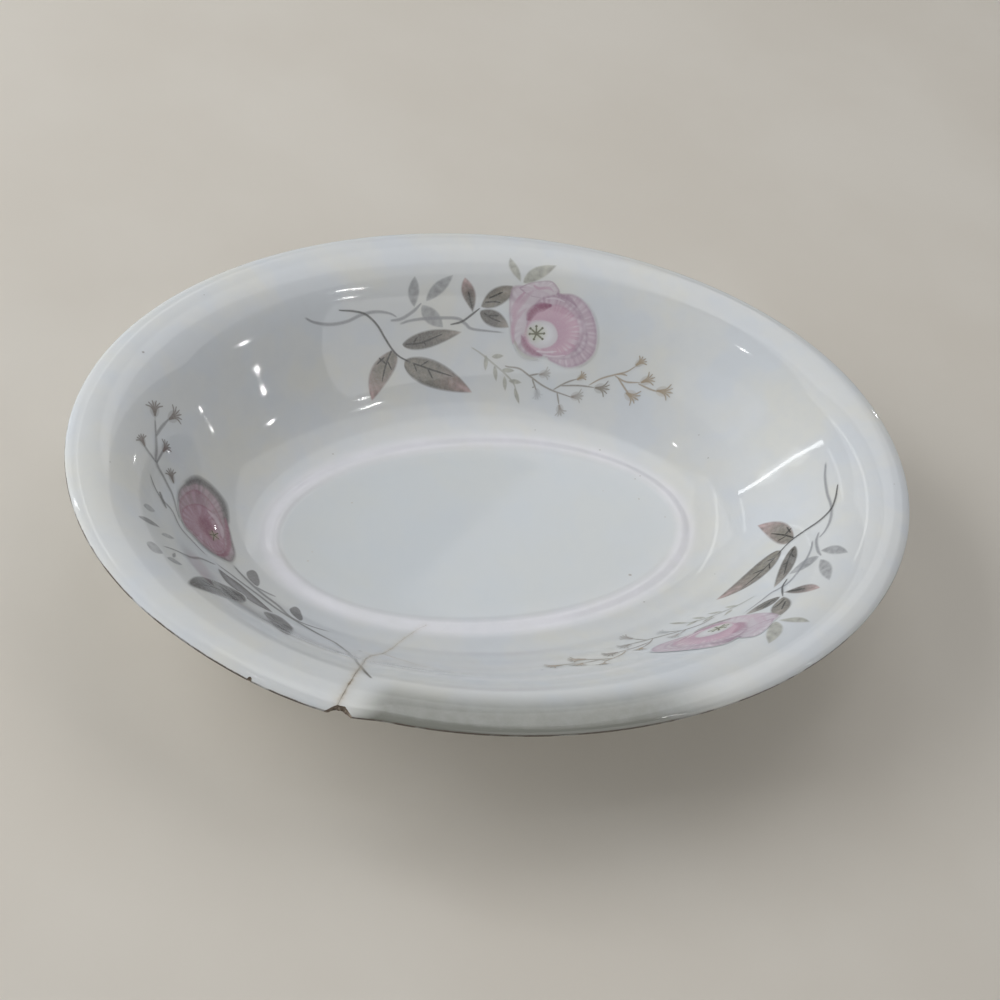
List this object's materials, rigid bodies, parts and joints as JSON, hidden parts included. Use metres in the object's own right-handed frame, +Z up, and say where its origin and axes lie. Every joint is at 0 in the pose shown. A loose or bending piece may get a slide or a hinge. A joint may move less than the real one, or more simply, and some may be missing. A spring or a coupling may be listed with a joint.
{
  "type": "cracked bowl",
  "caption": "Oval glazed serving bowl with a flared rim and a foot ring, chipped at the rim and cracked down its wall to the floor.",
  "frame": {"origin": "middle of the foot ring's underside, on the surface that the bowl stands on", "axes": "+Z up out of the bowl, +X along the oval's long axis, -Y towards the side with the crack and the chip"},
  "size_m": [0.254, 0.187, 0.0425],
  "materials": {
    "glazed_porcelain": "glossy white glaze with floral sprays, a stained crack and a worn edge line"
  },
  "bodies": {
    "root": {"bowl": "glazed_porcelain"}
  },
  "joints": []
}
